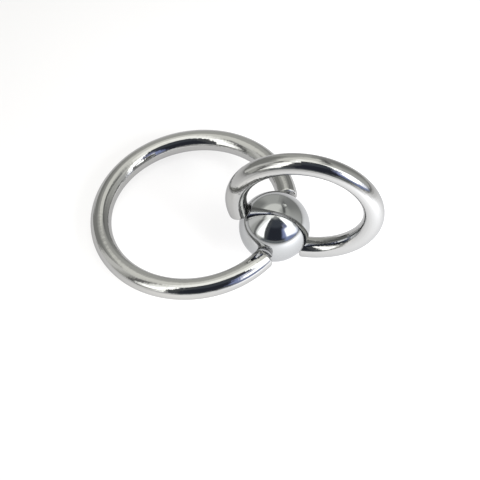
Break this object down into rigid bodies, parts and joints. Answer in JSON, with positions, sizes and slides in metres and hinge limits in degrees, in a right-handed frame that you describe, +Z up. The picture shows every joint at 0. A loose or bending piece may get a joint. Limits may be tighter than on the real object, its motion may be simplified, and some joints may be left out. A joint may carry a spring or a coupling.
{
  "type": "captive bead ring with a second ring on the same bead",
  "caption": "Body jewellery of polished steel: a dimpled round bead held captive in the gap of a large wire ring and of a small one.",
  "frame": {"origin": "on the surface the part lies on, below the middle of its box", "axes": "+Z up; +X along the part's longest way and in the plane of the small ring, towards the small ring; +Y away from the viewer"},
  "size_m": [0.0332, 0.0238, 0.0178],
  "materials": {
    "ring_steel": "mirror-polished surgical steel",
    "bead_steel": "mirror-polished surgical steel"
  },
  "bodies": {
    "root": {"big_ring": "ring_steel"},
    "bead_body": {"bead": "bead_steel"},
    "small_ring_body": {"small_ring": "ring_steel"}
  },
  "joints": [
    {"name": "bead_turn", "type": "hinge", "parent": "root", "child": "bead_body", "pos_m": [0.0045, -0.00141, 0.00433], "axis": [0.1491, 0.9888, 0], "continuous": true},
    {"name": "small_ring_swing", "type": "hinge", "parent": "bead_body", "child": "small_ring_body", "pos_m": [0.0045, -0.00141, 0.00433], "axis": [0.8171, 0, -0.5764], "range_deg": [-30, 40]}
  ]
}
